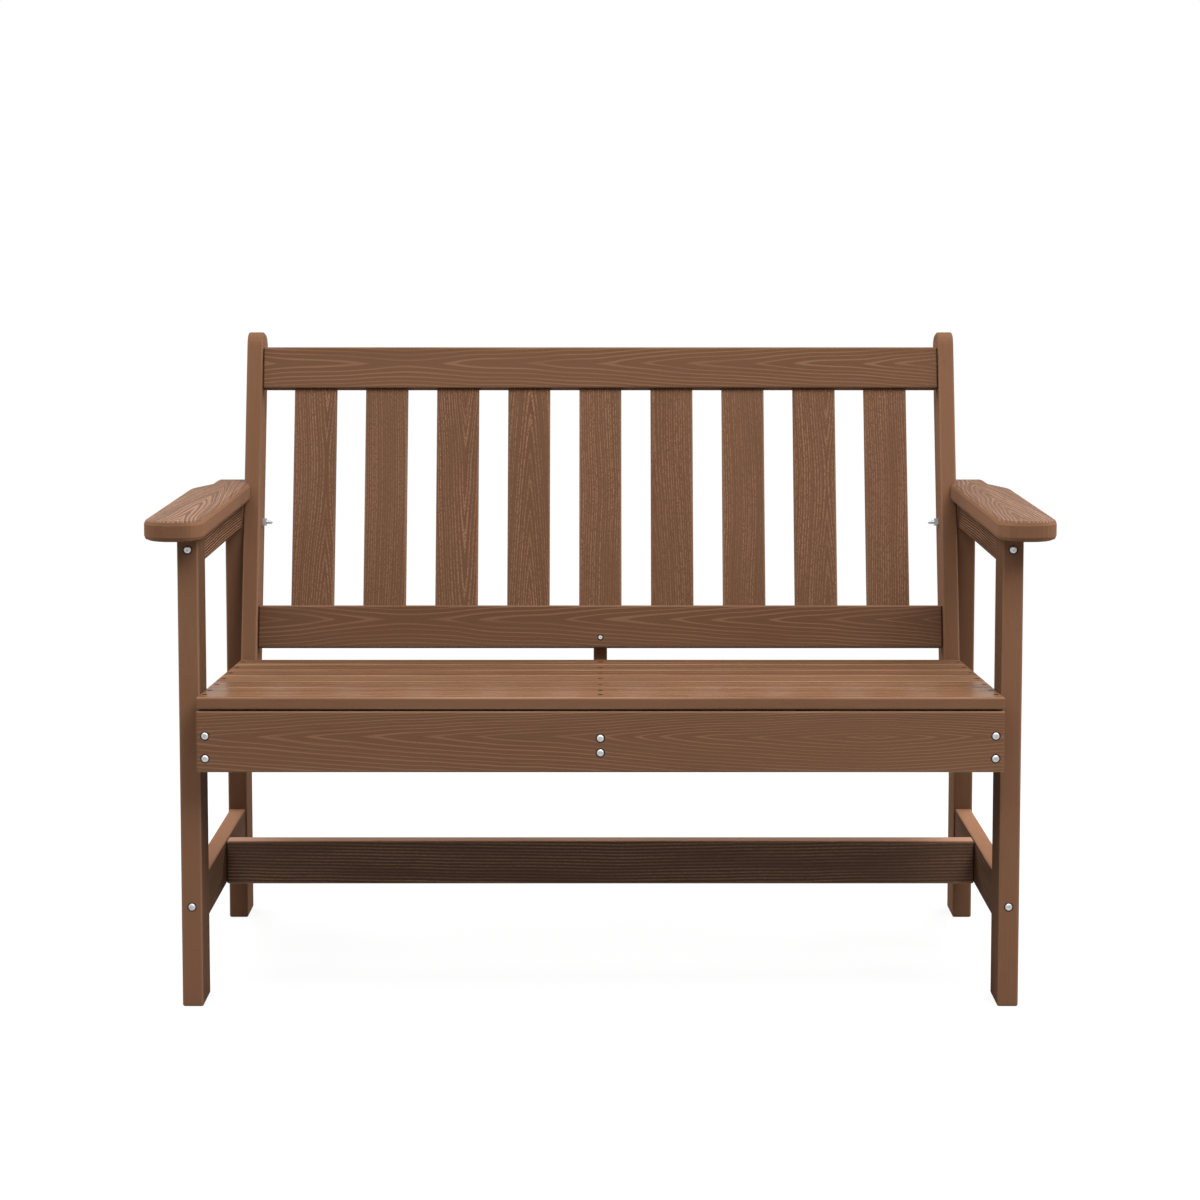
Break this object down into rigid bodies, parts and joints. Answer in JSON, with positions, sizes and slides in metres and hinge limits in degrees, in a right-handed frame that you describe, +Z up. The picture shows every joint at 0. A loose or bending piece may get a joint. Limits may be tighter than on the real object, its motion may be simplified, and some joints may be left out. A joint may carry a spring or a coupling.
{
  "type": "outdoor bench",
  "caption": "Outdoor bench of brown wood-grain plastic lumber, with a slatted seat, a raked back of upright slats, flat armrests and bolted leg frames.",
  "frame": {"origin": "on the floor, at the middle of the bench's width and depth", "axes": "+X along the seat to the right in the front view, +Y towards the back, +Z up; the sitter faces -Y"},
  "size_m": [1.2296, 0.6112, 0.9],
  "materials": {
    "lumber": "pressed wood grain, satin brown",
    "fasteners": "bare stainless, satin"
  },
  "bodies": {
    "root": {"apron_lower_bolt_center": "fasteners", "apron_lower_bolt_left": "fasteners", "apron_lower_bolt_right": "fasteners", "apron_upper_bolt_center": "fasteners", "apron_upper_bolt_left": "fasteners", "apron_upper_bolt_right": "fasteners", "arm_support_front_bolt_left": "fasteners", "arm_support_front_bolt_right": "fasteners", "arm_support_left": "lumber", "arm_support_rear_bolt_left": "fasteners", "arm_support_rear_bolt_right": "fasteners", "arm_support_right": "lumber", "armrest_left": "lumber", "armrest_right": "lumber", "back_bottom_rail": "lumber", "back_post_left": "lumber", "back_post_right": "lumber", "back_slat_1": "lumber", "back_slat_2": "lumber", "back_slat_3": "lumber", "back_slat_4": "lumber", "back_slat_5": "lumber", "back_slat_6": "lumber", "back_slat_7": "lumber", "back_slat_8": "lumber", "back_slat_9": "lumber", "back_top_rail": "lumber", "center_brace": "lumber", "center_brace_screw": "fasteners", "cross_stretcher": "lumber", "cross_stretcher_bolt_left": "fasteners", "cross_stretcher_bolt_right": "fasteners", "front_apron": "lumber", "front_leg_left": "lumber", "front_leg_right": "lumber", "post_bolt_left": "fasteners", "post_bolt_right": "fasteners", "post_nut_left": "fasteners", "post_nut_right": "fasteners", "rear_leg_left": "lumber", "rear_leg_right": "lumber", "seat_center_rail": "lumber", "seat_rail_front_leg_bolt_left": "fasteners", "seat_rail_front_leg_bolt_right": "fasteners", "seat_rail_rear_leg_bolt_left": "fasteners", "seat_rail_rear_leg_bolt_right": "fasteners", "seat_side_rail_left": "lumber", "seat_side_rail_right": "lumber", "seat_slat_1": "lumber", "seat_slat_2": "lumber", "seat_slat_3": "lumber", "seat_slat_4": "lumber", "seat_slat_5": "lumber", "seat_slat_6": "lumber", "side_stretcher_front_bolt_left": "fasteners", "side_stretcher_front_bolt_right": "fasteners", "side_stretcher_left": "lumber", "side_stretcher_rear_bolt_left": "fasteners", "side_stretcher_rear_bolt_right": "fasteners", "side_stretcher_right": "lumber"}
  },
  "joints": []
}
